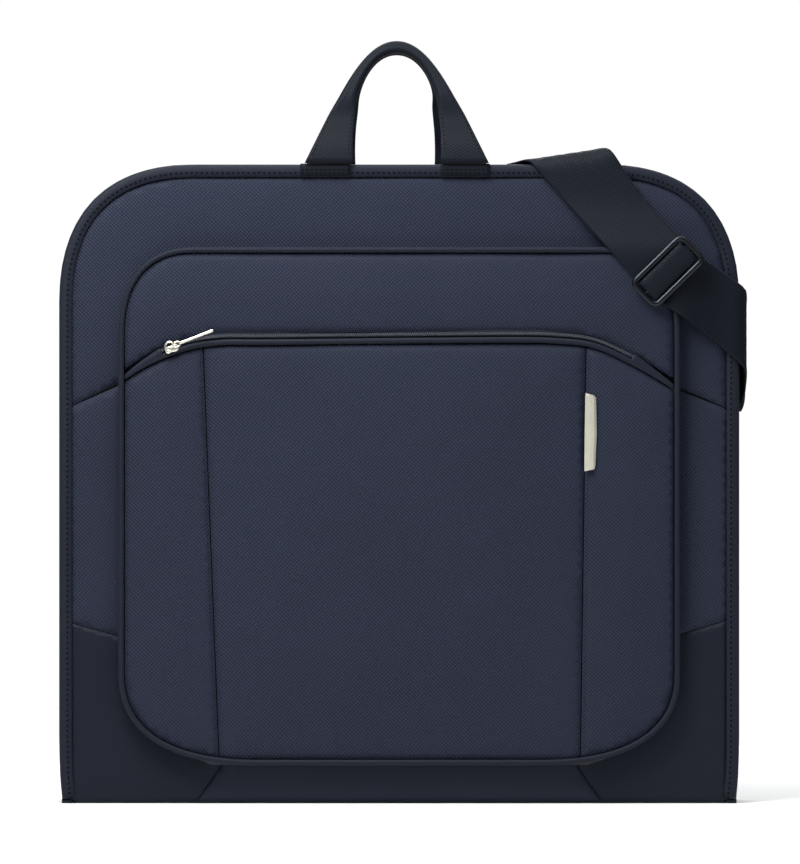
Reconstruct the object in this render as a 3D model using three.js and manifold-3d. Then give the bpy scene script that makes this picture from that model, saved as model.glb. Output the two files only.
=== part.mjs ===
// Bi-fold garment bag, folded shut and standing on its fold.
// Millimetres, +Z up, the front half towards -Y. The origin is the centre of the fold panel's underside.
import * as THREE from 'three';
import { mergeVertices } from 'three/addons/utils/BufferGeometryUtils.js';
import Module from 'manifold-3d';

const wasm = await Module();
wasm.setup();

// ---- driving dimensions ----
const HALF_WIDTH = 276;
const BODY_TOP = 517.7;
const CORNER_WIDTH = 107.4; // the top corners, as wide and as tall as this
const CORNER_HEIGHT = 110.6;
const CORNER_FULLNESS = 0.64; // Bezier handle length over the corner's size
const CURVE_STEPS = 9;
const GAP = 0.3; // between pieces that touch
const HALF_FOOT = 4; // where both halves start, above the fold panel

// distances from the mid-plane, the same for both halves
const LINING = [6.2, 8];
const INNER_BINDING = [6, 11];
const GUSSET = [11.3, 24.7];
const OUTER_BINDING = [25, 31.2];
const STIFFENER = [25.7, 27.2];
const PANEL = [27.5, 30];
const BINDING_WIDTH = 10.5;

const FOLD_HALF_DEPTH = 28;
const FOLD_THICKNESS = 3;

// front pocket: centreline of its piping, and its levels in front of the mid-plane
const POCKET_HALF_WIDTH = 224.5;
const POCKET_TOP = 447.4;
const POCKET_BOTTOM = 33.6;
const POCKET_TOP_CORNER = [57.3, 68.6];
const POCKET_LOW_CORNER = [108.4, 69.7];
const PIPING = 4.6;
const POCKET_GUSSET = [30.3, 40.7];
const PIPING_LEVELS = [41, 45.5];
const POCKET_PANEL = [41.5, 43.5];

// zips
const MAIN_ZIP_X = 195;
const MAIN_TAPE_WIDTH = 24;
const SLIDER_START_Z = 462;
const POCKET_SLIDER = [-183.5, 367.5];
const PULLER_TILT = THREE.MathUtils.degToRad(21);

// handles
const HANDLE_PIVOT = [35.2, 520.5]; // from the mid-plane, and height
const HANDLE_LEAN = THREE.MathUtils.degToRad(13.6);
const WEBBING = 2.4;
const GRIP = 12;

// shoulder strap
const STRAP_WIDTH = 50;
const STRAP_THICKNESS = 1.8;
const STRAP_ARCH = 10; // how far the strap's outer edge stands off the bag's top edge
const ADJUSTER_CENTRE = [216.6, 430];
const ADJUSTER_TURN = THREE.MathUtils.degToRad(44.4);

// ---- looks ----
const twill = { color: 0x363c50, roughness: 0.82, metalness: 0 };
const smooth = { color: 0x262b38, roughness: 0.6, metalness: 0 };
const trim = { color: 0x2e3342, roughness: 0.6, metalness: 0 };
const strapLook = { color: 0x252b34, roughness: 0.75, metalness: 0 };
const liningLook = { color: 0x3a3d47, roughness: 0.7, metalness: 0 };
const board = { color: 0x8c8c88, roughness: 0.8, metalness: 0 };
const zipLook = { color: 0x191e2a, roughness: 0.5, metalness: 0 };
const silver = { color: 0xd3d0bd, roughness: 0.3, metalness: 1 };
const gunmetal = { color: 0x2b2d33, roughness: 0.35, metalness: 1 };

// ---- helpers ----
const bag = new THREE.Group();
const frontHalf = new THREE.Group();
const rearHalf = new THREE.Group();
const spine = new THREE.Group();
bag.add(frontHalf, rearHalf, spine);

function part(group, name, geometry, look) {
  const mesh = new THREE.Mesh(geometry, new THREE.MeshStandardMaterial(look));
  mesh.name = name;
  group.add(mesh);
  return mesh;
}

// A flat shape drawn in X and Z, made solid between two Y values.
function slab(shape, yLow, yHigh, curveSegments = CURVE_STEPS) {
  const options = { depth: yHigh - yLow, bevelEnabled: false, steps: 1, curveSegments };
  return new THREE.ExtrudeGeometry(shape, options).rotateX(Math.PI / 2).translate(0, yHigh, 0);
}

// The same between two distances from the mid-plane: side is -1 for the front half and 1 for the rear.
function layer(shape, side, [near, far]) {
  return side < 0 ? slab(shape, -far, -near) : slab(shape, near, far);
}

function rectangle(xLow, xHigh, zLow, zHigh) {
  return polygon([[xLow, zLow], [xHigh, zLow], [xHigh, zHigh], [xLow, zHigh]]);
}

function polygon(points) {
  return new THREE.Shape(points.map(([x, z]) => new THREE.Vector2(x, z)));
}

function smoothThrough(points, steps) {
  return new THREE.SplineCurve(points.map(([x, z]) => new THREE.Vector2(x, z))).getPoints(steps);
}

function toManifold(geometry) {
  const bare = geometry.index ? geometry.toNonIndexed() : geometry.clone();
  bare.deleteAttribute('normal');
  bare.deleteAttribute('uv');
  const merged = mergeVertices(bare, 1e-4);
  const vertProperties = new Float32Array(merged.attributes.position.array);
  const triVerts = new Uint32Array(merged.index.array);
  return new wasm.Manifold(new wasm.Mesh({ numProp: 3, vertProperties, triVerts }));
}

function toGeometry(solid) {
  const mesh = solid.getMesh();
  const geometry = new THREE.BufferGeometry();
  geometry.setAttribute('position', new THREE.BufferAttribute(new Float32Array(mesh.vertProperties), 3));
  geometry.setIndex(new THREE.BufferAttribute(new Uint32Array(mesh.triVerts), 1));
  return geometry;
}

const keep = (geometry, region) => toGeometry(toManifold(geometry).intersect(toManifold(region)));
const join = (first, ...rest) =>
  toGeometry(rest.reduce((solid, next) => solid.add(toManifold(next)), toManifold(first)));

// The silhouette of a half, inset from its edge, from the bottom left round the top to the bottom right.
function halfOutline(inset) {
  const w = HALF_WIDTH - inset;
  const top = BODY_TOP - inset;
  const cw = CORNER_WIDTH - inset;
  const ch = CORNER_HEIGHT - inset;
  const pull = 1 - CORNER_FULLNESS;
  const path = new THREE.Path();
  path.moveTo(-w, HALF_FOOT);
  path.lineTo(-w, top - ch);
  path.bezierCurveTo(-w, top - ch * pull, -w + cw * pull, top, -w + cw, top);
  path.lineTo(w - cw, top);
  path.bezierCurveTo(w - cw * pull, top, w, top - ch * pull, w, top - ch);
  path.lineTo(w, HALF_FOOT);
  return path.getPoints(CURVE_STEPS);
}

const halfPlate = (inset) => new THREE.Shape(halfOutline(inset));
const halfStrip = (outer, inner) =>
  new THREE.Shape([...halfOutline(outer), ...halfOutline(inner).reverse()]);

// The pocket's outline, inset from the middle of its piping.
function pocketOutline(inset) {
  const w = POCKET_HALF_WIDTH - inset;
  const top = POCKET_TOP - inset;
  const low = POCKET_BOTTOM + inset;
  const [tw, th] = POCKET_TOP_CORNER.map((side) => side - inset);
  const [lw, lh] = POCKET_LOW_CORNER.map((side) => side - inset);
  const pull = 1 - CORNER_FULLNESS;
  const path = new THREE.Shape();
  path.moveTo(-w, low + lh);
  path.lineTo(-w, top - th);
  path.bezierCurveTo(-w, top - th * pull, -w + tw * pull, top, -w + tw, top);
  path.lineTo(w - tw, top);
  path.bezierCurveTo(w - tw * pull, top, w, top - th * pull, w, top - th);
  path.lineTo(w, low + lh);
  path.bezierCurveTo(w, low + lh * pull, w - lw * pull, low, w - lw, low);
  path.lineTo(-w + lw, low);
  path.bezierCurveTo(-w + lw * pull, low, -w, low + lh * pull, -w, low + lh);
  return path;
}

function pocketRing(halfWidth) {
  const ring = pocketOutline(-halfWidth);
  ring.holes.push(new THREE.Path(pocketOutline(halfWidth).getPoints(CURVE_STEPS).reverse()));
  return ring;
}

// The welt under the pocket zip: level across the middle, falling away towards both ends.
function zipLine(rise) {
  const ends = [[-235, 334], [-206.7, 353.5], [-175.7, 367.1], [-145, 372.6], [-100, 373], [81, 374.8]];
  const right = [[130, 373.8], [158.7, 369.7], [188, 356.5], [217.4, 338.8], [235, 327]];
  return smoothThrough([...ends, ...right], 28).map((p) => [p.x, p.y + rise]);
}

const zipBand = (low, high) => polygon([...zipLine(low), ...zipLine(high).reverse()]);

// ---- the two halves' shells ----
function addShell(group, side, label) {
  part(group, `${label}_stiffener`, layer(halfPlate(12), side, STIFFENER), board);
  part(group, `${label}_gusset`, layer(halfStrip(8, 10), side, GUSSET), twill);
  part(group, `${label}_binding`, layer(halfStrip(0, BINDING_WIDTH), side, OUTER_BINDING), trim);
  part(group, `${label}_inner_binding`, layer(halfStrip(4, 10.8), side, INNER_BINDING), trim);
  const lining = () => layer(halfPlate(11.1), side, LINING);
  const halfTape = MAIN_TAPE_WIDTH / 2;
  const wide = rectangle(-HALF_WIDTH, MAIN_ZIP_X - halfTape - GAP, 0, BODY_TOP);
  const narrow = rectangle(MAIN_ZIP_X + halfTape + GAP, HALF_WIDTH, 0, BODY_TOP);
  part(group, `${label}_lining_wide`, keep(lining(), slab(wide, -60, 60)), liningLook);
  part(group, `${label}_lining_narrow`, keep(lining(), slab(narrow, -60, 60)), liningLook);
  const tape = layer(rectangle(MAIN_ZIP_X - halfTape, MAIN_ZIP_X + halfTape, 8, 492), side, [6.6, 7.8]);
  const coil = layer(rectangle(MAIN_ZIP_X - 3, MAIN_ZIP_X + 3, 12, 478), side, [5, 7]);
  part(group, `${label}_main_zip`, join(tape, coil), zipLook);
}

// ---- front panels: upper, two sides, two corners, bottom, and the pocket's back ----
function addFrontPanels() {
  const field = () => layer(halfPlate(BINDING_WIDTH + GAP), -1, PANEL);
  const inner = POCKET_HALF_WIDTH + 2;
  const edge = HALF_WIDTH;
  const cut = (name, points, look) =>
    part(frontHalf, name, keep(field(), slab(polygon(points), -60, 0)), look);
  const upper = [[-edge, 316], [-inner, 340], [inner, 337], [edge, 314], [edge, 530], [-edge, 530]];
  cut('front_upper_panel', upper, twill);
  for (const [side, name] of [[-1, 'left'], [1, 'right']]) {
    const top = side < 0 ? [339.7, 315.7] : [336.7, 313.7];
    cut(`front_side_panel_${name}`,
      [[side * inner, 134.5], [side * edge, 150], [side * edge, top[1]], [side * inner, top[0]]], twill);
    cut(`front_corner_panel_${name}`,
      [[side * 164.5, 0], [side * edge, 0], [side * edge, 149.7], [side * inner, 134.2],
        [side * inner, 31], [side * 145, 31]], smooth);
  }
  cut('front_bottom_panel', [[-164.2, 0], [164.2, 0], [144.7, 31], [-144.7, 31]], smooth);
  const back = rectangle(-inner + GAP, inner - GAP, 31 + GAP, 336.5);
  part(frontHalf, 'pocket_back_lining', slab(back, -PANEL[1], -PANEL[0]), liningLook);
}

// ---- front pocket ----
function addPocket() {
  const face = () => layer(pocketOutline(PIPING / 2 + GAP), -1, POCKET_PANEL);
  const region = (points) => slab(polygon(points), -60, 0);
  part(frontHalf, 'pocket_gusset', layer(pocketRing(1), -1, POCKET_GUSSET), twill);
  part(frontHalf, 'pocket_piping', layer(pocketRing(PIPING / 2), -1, PIPING_LEVELS), trim);
  const above = [...zipLine(8.8), [260, 500], [-260, 500]];
  part(frontHalf, 'pocket_upper_panel', keep(face(), region(above)), twill);
  const below = zipLine(-2.6).reverse();
  const body = () => keep(face(), region([[-260, 0], [260, 0], ...below]));
  const seamLeft = { low: -145.2, high: -158.5 };
  const seamRight = { low: 146.2, high: 151 };
  const wing = (x, side) => [[side * 260, 0], [x.low + side * 0.15, 0], [x.high + side * 0.15, 400],
    [side * 260, 400]];
  part(frontHalf, 'pocket_left_panel', keep(body(), region(wing(seamLeft, -1))), twill);
  part(frontHalf, 'pocket_right_panel', keep(body(), region(wing(seamRight, 1))), twill);
  const middle = [[seamLeft.low + 0.15, 0], [seamRight.low - 0.15, 0], [seamRight.high - 0.15, 400],
    [seamLeft.high + 0.15, 400]];
  part(frontHalf, 'pocket_centre_panel', keep(body(), region(middle)), twill);
  const band = (low, high, [near, far]) =>
    keep(layer(pocketOutline(PIPING / 2 + GAP), -1, [near, far]), region([...zipLine(low),
      ...zipLine(high).reverse()]));
  part(frontHalf, 'pocket_zip_welt', band(-2.3, 2.3, [41.5, 45]), trim);
  part(frontHalf, 'pocket_zip_tape', band(2.6, 8.5, [41.5, 42.3]), zipLook);
  const coil = slab(zipBand(3, 6.7), -44, -42.6);
  part(frontHalf, 'pocket_zip_coil', keep(coil, slab(rectangle(-178, 186, 0, 400), -60, 0)), zipLook);
  const plate = [[149.6, 331.8], [158.7, 328.1], [159.4, 300], [158.3, 273], [149.4, 268.7]];
  part(frontHalf, 'label_plate', slab(polygon(plate), -45.3, -43.8), silver);
}

// ---- pocket zip slider and its puller ----
function addPocketSlider() {
  const [x, z] = POCKET_SLIDER;
  const shell = slab(rectangle(-6, 6, -4.9, 4.9), -48, -45.8);
  const crown = slab(rectangle(-2, 2, 0.6, 3.4), -49, -47.5);
  const slider = part(frontHalf, 'pocket_zip_slider', join(shell, crown), silver);
  slider.position.set(x, 0, z);
  // the puller starts just beyond its pivot, so that it turns over the slider without touching it
  const eye = new THREE.Shape().absarc(4.6, 0, 4.2, 0, Math.PI * 2);
  eye.holes.push(new THREE.Path().absarc(4.6, 0, 2.4, 0, Math.PI * 2, true));
  const ring = slab(eye, -51.2, -49.9);
  const bar = slab(rectangle(8, 36, -1.7, 1.7), -51.2, -49.9);
  const puller = part(frontHalf, 'pocket_zip_puller', join(ring, bar), silver);
  puller.position.set(x, 0, z + 2);
  puller.rotation.y = -PULLER_TILT;
}

// ---- main zip slider and puller, on the rear half's inner face ----
function addMainSlider() {
  const slider = part(rearHalf, 'main_zip_slider', slab(rectangle(-5.5, 5.5, -8, 8), 2.6, 4.7), gunmetal);
  slider.position.set(MAIN_ZIP_X, 0, SLIDER_START_Z);
  const tag = rectangle(-3.5, 3.5, -34, 3.5);
  const puller = part(rearHalf, 'main_zip_puller', slab(tag, 1, 2.3), gunmetal);
  puller.position.set(MAIN_ZIP_X, 0, SLIDER_START_Z - 4);
}

// ---- carry handles ----
function handleGeometry() {
  const stretch = 1 / Math.cos(HANDLE_LEAN);
  const rise = ([x, z]) => [x, (z - HANDLE_PIVOT[1]) * stretch];
  const outer = [[-76, 523], [-66.5, 536.4], [-55.7, 558.1], [-44.9, 580.7], [-27.6, 604.6], [-10.3, 614.8],
    [5.9, 614.8], [24.3, 602.4], [41.6, 576.4], [52.4, 559.1], [63.2, 538.6], [71, 523]];
  const inner = [[34, 523], [33, 544], [31.9, 564.5], [25.4, 579.7], [11.3, 598], [-1.7, 605.3],
    [-14.7, 599.1], [-29.8, 580.7], [-35.4, 564.5], [-36.5, 544], [-37.9, 523]];
  const outline = [...smoothThrough(outer.map(rise), 26), ...smoothThrough(inner.map(rise), 24)];
  const legs = slab(new THREE.Shape(outline), -WEBBING / 2, WEBBING / 2);
  const middle = [[-37, 577], [-25, 596], [-9, 608.5], [-2, 609.6], [7, 608], [21, 596], [34, 575]];
  const route = new THREE.CatmullRomCurve3(middle.map(rise).map(([x, z]) => new THREE.Vector3(x, 0, z)));
  const section = new THREE.Shape().absarc(0, 0, GRIP / 2, 0, Math.PI * 2);
  const options = { steps: 16, bevelEnabled: false, extrudePath: route, curveSegments: 5 };
  return join(legs, new THREE.ExtrudeGeometry(section, options));
}

function addHandle(group, side, label) {
  const handle = part(group, `${label}_handle`, handleGeometry(), strapLook);
  handle.position.set(0, side * HANDLE_PIVOT[0], HANDLE_PIVOT[1]);
  handle.rotation.x = side * HANDLE_LEAN;
  for (const [name, low, high] of [['left', -80, -39.5], ['right', 33.5, 73.5]]) {
    const patch = layer(rectangle(low, high, 507.7, 519), side, [31.5, 33.6]);
    part(group, `${label}_handle_foot_${name}`, patch, strapLook);
  }
}

// ---- shoulder strap ----
// A flat ribbon is bent over a profile: its middle line is drawn on the unrolled surface, and the profile
// turns the unrolled coordinate into a place and a normal.
function bentRibbon(profile, line, steps, outward, place) {
  const box = new THREE.BoxGeometry(STRAP_WIDTH, STRAP_THICKNESS, 1, 4, 1, steps);
  const position = box.attributes.position;
  const total = profile.getLength();
  for (let i = 0; i < position.count; i += 1) {
    const along = position.getZ(i) + 0.5;
    const middle = line.getPoint(along);
    const heading = line.getTangent(along);
    const across = position.getX(i);
    const u = middle.x - heading.y * across;
    const v = middle.y + heading.x * across;
    const [reach, rest] = place(u, v, across);
    const share = THREE.MathUtils.clamp(reach / total, 0, 1);
    const on = profile.getPointAt(share);
    const way = profile.getTangentAt(share);
    const lift = position.getY(i) * outward;
    position.setXYZ(i, ...rest(on.x - way.y * lift, on.y + way.x * lift));
  }
  return toGeometry(toManifold(box));
}

function profileThrough(points) {
  return new THREE.SplineCurve(points.map(([a, b]) => new THREE.Vector2(a, b)));
}

function addStrap() {
  // over the top edge: the profile runs in Y and Z, up the front and down between the halves
  const overTop = profileThrough([[-47.1, 395], [-47.1, 425], [-47.1, 447], [-42, 463], [-36, 485],
    [-34, 506], [-33.7, 515], [-31.6, 520.2], [-26, 521.3], [-17, 518.5], [-9, 516.6], [-4.6, 512],
    [-4.8, 495], [-4.8, 420], [-4.8, 330], [-4.8, 264]]);
  const upperLine = new THREE.LineCurve(new THREE.Vector2(212.5, 40.7), new THREE.Vector2(-50, 344.5));
  const arched = (v, across) =>
    STRAP_ARCH * (0.5 - across / STRAP_WIDTH) * Math.exp(-(((v - 134) / 24) ** 2));
  const upper = bentRibbon(overTop, upperLine, 44, 1, (u, v, across) =>
    [v, (y, z) => [u, y, z + arched(v, across)]]);
  part(frontHalf, 'strap_upper', upper, strapLook);
  // round the side edge: the profile runs in X and Y, out over the front and in between the halves
  const roundSide = profileThrough([[205, -47.1], [228, -47], [243, -40.5], [258, -36], [271, -34.8],
    [278.6, -32.6], [280.6, -26], [280, -12], [277.6, -6.2], [273, -4], [264, -4.2], [250, -4.2]]);
  const lowerLine = new THREE.QuadraticBezierCurve(new THREE.Vector2(20, 425),
    new THREE.Vector2(78, 391), new THREE.Vector2(122, 341));
  const lower = bentRibbon(roundSide, lowerLine, 36, -1, (u, v) => [u, (x, y) => [x, y, v]]);
  part(frontHalf, 'strap_lower', lower, strapLook);
  // the tucked end: from the turn between the halves out to the left ring
  const tucked = slab(rectangle(-206 / 2, 206 / 2, -STRAP_WIDTH / 2, STRAP_WIDTH / 2), -3.3, -1.5);
  const tail = part(frontHalf, 'strap_tucked_end', tucked, strapLook);
  tail.position.set(-140, 0, 288);
  tail.rotation.y = THREE.MathUtils.degToRad(8);
}

function addRings() {
  for (const [name, x, z] of [['left', -256, 306], ['right', 256, 341]]) {
    const loop = rectangle(-4.5, 4.5, -29, 29);
    const window = [[-1.8, -26], [-1.8, 26], [1.8, 26], [1.8, -26]].map(([a, b]) => new THREE.Vector2(a, b));
    loop.holes.push(new THREE.Path(window));
    const ring = part(frontHalf, `strap_ring_${name}`, slab(loop, -3.2, -0.8), gunmetal);
    ring.position.set(x + Math.sign(x) * (name === 'right' ? -14 : 0), 0, z);
    const tab = slab(rectangle(-14, 14, -22, 22), -5.9, -4.1);
    const sewn = part(frontHalf, `ring_tab_${name}`, tab, strapLook);
    sewn.position.set(x + (name === 'right' ? -34 : 0), 0, z);
  }
}

function addAdjuster() {
  const frame = rectangle(-28.3, 28.3, -14.4, 14.4);
  for (const [low, high] of [[-10.4, -1.3], [1.3, 10.4]]) {
    const window = [[-24.3, low], [-24.3, high], [24.3, high], [24.3, low]];
    frame.holes.push(new THREE.Path(window.map(([a, b]) => new THREE.Vector2(a, b))));
  }
  const [x, z] = ADJUSTER_CENTRE;
  const buckle = part(frontHalf, 'strap_adjuster', slab(frame, -53, -50.4), gunmetal);
  // the webbing that passes round the centre bar
  const loop = polygon([[-8.5, -2.9], [8.5, -2.9], [8.5, 2.9], [-8.5, 2.9]]);
  loop.holes.push(new THREE.Path([[-2, -1.6], [-2, 1.6], [2, 1.6], [2, -1.6]].map(([a, b]) =>
    new THREE.Vector2(a, b))));
  const sleeve = new THREE.ExtrudeGeometry(loop, { depth: 46.4, bevelEnabled: false, steps: 1 });
  sleeve.rotateY(Math.PI / 2).translate(-23.2, -51.7, 0);
  const webbing = part(frontHalf, 'adjuster_loop', sleeve, strapLook);
  for (const mesh of [buckle, webbing]) {
    mesh.position.set(x, 0, z);
    mesh.rotation.y = -ADJUSTER_TURN;
  }
}

// ---- rear half's own pieces ----
function addRear() {
  part(rearHalf, 'rear_panel', layer(halfPlate(BINDING_WIDTH + GAP), 1, PANEL), twill);
  part(rearHalf, 'garment_strap', slab(rectangle(-264, 264, 240, 278), 9, 10.2), strapLook);
  part(rearHalf, 'garment_strap_buckle', slab(rectangle(-26, 26, 236, 282), 10.5, 13.5), zipLook);
  part(rearHalf, 'hanger_plate', slab(rectangle(-17, 17, 474, 500), 4.4, 5.9), gunmetal);
  const rivet = new THREE.CylinderGeometry(2.6, 2.6, 3.6, 16).translate(0, 2.3, 487);
  part(rearHalf, 'hanger_rivet', rivet, gunmetal);
  const eye = new THREE.Shape().absarc(0, 0, 7, 0, Math.PI * 2);
  eye.holes.push(new THREE.Path().absarc(0, 0, 3.2, 0, Math.PI * 2, true));
  const bend = [[0, -5.5], [0, -30], [6, -42], [20, -52], [26, -68], [18, -86], [0, -93], [-18, -86],
    [-25, -70]];
  const wire = new THREE.CatmullRomCurve3(bend.map(([x, z]) => new THREE.Vector3(x, 0, z)));
  const section = new THREE.Shape().absarc(0, 0, 1.6, 0, Math.PI * 2);
  const options = { steps: 40, bevelEnabled: false, extrudePath: wire, curveSegments: 4 };
  const hook = join(slab(eye, -1.4, 1.4), new THREE.ExtrudeGeometry(section, options));
  const hanger = part(rearHalf, 'hanger_hook', hook, silver);
  hanger.position.set(0, 2.3, 487);
}

// ---- the fold ----
function addFold() {
  const depth = [-FOLD_HALF_DEPTH, FOLD_HALF_DEPTH];
  part(spine, 'fold_panel', slab(rectangle(-262, 262, 0, FOLD_THICKNESS), ...depth), smooth);
  part(spine, 'fold_binding_left', slab(rectangle(-275, -262.3, 0, FOLD_THICKNESS), ...depth), trim);
  part(spine, 'fold_binding_right', slab(rectangle(262.3, 275, 0, FOLD_THICKNESS), ...depth), trim);
  part(spine, 'fold_lining', slab(rectangle(-250, 250, 3.3, 34), -1, 1), liningLook);
}

addShell(frontHalf, -1, 'front');
addShell(rearHalf, 1, 'rear');
addFrontPanels();
addPocket();
addPocketSlider();
addMainSlider();
addHandle(frontHalf, -1, 'front');
addHandle(rearHalf, 1, 'rear');
addStrap();
addRings();
addAdjuster();
addRear();
addFold();

export default bag;
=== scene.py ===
"""Bi-fold garment bag, folded shut and standing on its fold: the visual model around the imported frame.

Lengths are written in millimetres and scaled by MM where a mesh is made. The front faces -Y.
"""
import math

import bpy
import numpy as np
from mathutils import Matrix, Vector, noise
from mathutils.geometry import delaunay_2d_cdt


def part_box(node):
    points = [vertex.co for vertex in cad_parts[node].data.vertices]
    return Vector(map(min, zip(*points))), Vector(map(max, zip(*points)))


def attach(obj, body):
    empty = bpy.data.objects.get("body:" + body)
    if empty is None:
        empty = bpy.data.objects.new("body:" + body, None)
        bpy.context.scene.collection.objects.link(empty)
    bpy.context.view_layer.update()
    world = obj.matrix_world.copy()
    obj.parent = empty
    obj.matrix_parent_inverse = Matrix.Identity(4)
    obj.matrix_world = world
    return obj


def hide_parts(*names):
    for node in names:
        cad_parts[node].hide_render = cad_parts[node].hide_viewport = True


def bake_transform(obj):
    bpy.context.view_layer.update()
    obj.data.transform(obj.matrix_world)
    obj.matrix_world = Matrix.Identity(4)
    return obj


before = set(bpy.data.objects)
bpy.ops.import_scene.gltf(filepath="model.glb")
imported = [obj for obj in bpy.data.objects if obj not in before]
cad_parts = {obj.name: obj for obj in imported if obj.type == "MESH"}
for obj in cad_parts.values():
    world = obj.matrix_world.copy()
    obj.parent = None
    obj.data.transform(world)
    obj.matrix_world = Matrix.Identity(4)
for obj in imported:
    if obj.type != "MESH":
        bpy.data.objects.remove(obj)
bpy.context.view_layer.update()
MM = 0.001

# ---- driving dimensions, the same as the frame's ----
HALF_WIDTH = 276.0
BODY_TOP = 517.7
CORNER = (107.4, 110.6)
FULLNESS = 0.64
FOOT = 4.0
BINDING = 10.5
POCKET = {"half": 224.5, "top": 447.4, "low": 33.6, "top_corner": (57.3, 68.6), "low_corner": (108.4, 69.7)}
PIPING = 2.3
PANEL_OUT = 30.0
POCKET_OUT = 43.5
ZIP_LINE = [(-235, 334), (-206.7, 353.5), (-175.7, 367.1), (-145, 372.6), (-100, 373), (81, 374.8),
            (130, 373.8), (158.7, 369.7), (188, 356.5), (217.4, 338.8), (235, 327)]
MAIN_ZIP_X = 195.0
HANDLE_PIVOT = (35.2, 520.5)
HANDLE_LEAN = math.radians(13.6)
STRAP_WIDTH = 50.0
STRAP_THICKNESS = 1.8
STRAP_ARCH = 10.0
ADJUSTER = (216.6, 430.0)
ADJUSTER_TURN = math.radians(44.4)
POCKET_SLIDER = (-183.5, 367.5)
PULLER_TILT = math.radians(21)
BINDING_FACE = 31.6
PATCH = (507.7, 517.5)
HOOK_EYE = 487.0
STITCH_LENGTH = 2.5
COIL_PITCH = 1.7


# ---- curves in the plane ----
def spline(points, count):
    """A smooth curve through the points: uniform Catmull-Rom, count + 1 samples."""
    p = np.array(points, float)
    out = []
    for t in np.linspace(0, len(p) - 1, count + 1):
        i = min(int(t), len(p) - 2)
        u = t - i
        a, b, c, d = p[max(i - 1, 0)], p[i], p[i + 1], p[min(i + 2, len(p) - 1)]
        v0, v1 = (c - a) / 2, (d - b) / 2
        out.append((2 * b - 2 * c + v0 + v1) * u**3 + (-3 * b + 3 * c - 2 * v0 - v1) * u**2 + v0 * u + b)
    return np.array(out)


def resample(points, step, closed=False):
    """The same line with its points a step apart."""
    p = np.array(points, float)
    if closed:
        p = np.vstack([p, p[:1]])
    seg = np.linalg.norm(np.diff(p, axis=0), axis=1)
    keep = np.r_[True, seg > 1e-6]
    p = p[keep]
    at = arc_length(p)
    count = max(2, round(at[-1] / step))
    s = np.linspace(0, at[-1], count + 1)
    out = np.column_stack([np.interp(s, at, p[:, k]) for k in range(p.shape[1])])
    return out[:-1] if closed else out


def arc_length(curve):
    """How far along a line each of its points is."""
    return np.r_[0, np.cumsum(np.linalg.norm(np.diff(curve, axis=0), axis=1))]


def bezier(a, b, c, d, count=14):
    t = np.linspace(0, 1, count + 1)[:, None]
    a, b, c, d = (np.array(v, float) for v in (a, b, c, d))
    return (1 - t) ** 3 * a + 3 * (1 - t) ** 2 * t * b + 3 * (1 - t) * t**2 * c + t**3 * d


def half_outline(inset=0.0, low=FOOT):
    """A half's silhouette from the bottom left round the top to the bottom right."""
    w, top = HALF_WIDTH - inset, BODY_TOP - inset
    cw, ch = CORNER[0] - inset, CORNER[1] - inset
    pull = 1 - FULLNESS
    left = bezier((-w, top - ch), (-w, top - ch * pull), (-w + cw * pull, top), (-w + cw, top))
    right = left[::-1] * (-1, 1)
    side = np.array([(-w + 2.4, low), (-w + 0.9, low + 16), (-w + 0.2, low + 34), (-w, low + 52)])
    return np.vstack([side, left, right, (side * (-1, 1))[::-1]])


def pocket_outline(inset=0.0):
    """The pocket's outline, closed, inset from the middle of its piping."""
    w, top, low = POCKET["half"] - inset, POCKET["top"] - inset, POCKET["low"] + inset
    tw, th = (s - inset for s in POCKET["top_corner"])
    lw, lh = (s - inset for s in POCKET["low_corner"])
    pull = 1 - FULLNESS
    top_left = bezier((-w, top - th), (-w, top - th * pull), (-w + tw * pull, top), (-w + tw, top))
    low_left = bezier((-w + lw, low), (-w + lw * pull, low), (-w, low + lh * pull), (-w, low + lh))
    left = np.vstack([low_left, top_left])
    return np.vstack([left, left[::-1] * (-1, 1)])


ZIP_CURVE = spline(ZIP_LINE, 160)


def zip_height(x):
    return np.interp(x, ZIP_CURVE[:, 0], ZIP_CURVE[:, 1])


def inside(points, polygon):
    """Which points are inside a closed polygon."""
    x, z = points[:, 0], points[:, 1]
    hit = np.zeros(len(points), bool)
    a, b = polygon, np.roll(polygon, -1, axis=0)
    for (x1, z1), (x2, z2) in zip(a, b):
        if z1 == z2:
            continue
        crosses = (z1 > z) != (z2 > z)
        hit ^= crosses & (x < (x2 - x1) * (z - z1) / (z2 - z1) + x1)
    return hit


def edge_distance(points, polygon):
    """Each point's distance to a closed polygon's edge."""
    best = np.full(len(points), 1e9)
    for a, b in zip(polygon, np.roll(polygon, -1, axis=0)):
        d = b - a
        length = max(d @ d, 1e-9)
        t = np.clip((points - a) @ d / length, 0, 1)
        best = np.minimum(best, np.linalg.norm(points - a - t[:, None] * d, axis=1))
    return best


def ripple(x, z, size, seed=0.0):
    """Gentle deterministic unevenness, about -1 to 1."""
    return noise.noise(Vector((x / size, z / size, seed)))


# ---- materials ----
BLOTCH_SCALE = 14
GRAIN_SCALE = 60


def shader(name, color, roughness, metallic=0.0, sheen=0.0, specular=0.5):
    material = bpy.data.materials.new(name)
    material.use_nodes = True
    nodes, links = material.node_tree.nodes, material.node_tree.links
    bsdf = nodes["Principled BSDF"]
    bsdf.inputs["Base Color"].default_value = (*color, 1)
    bsdf.inputs["Roughness"].default_value = roughness
    bsdf.inputs["Metallic"].default_value = metallic
    bsdf.inputs["Sheen Weight"].default_value = sheen
    bsdf.inputs["Sheen Roughness"].default_value = 0.45
    bsdf.inputs["Specular IOR Level"].default_value = specular
    return material, nodes, links, bsdf


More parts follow.
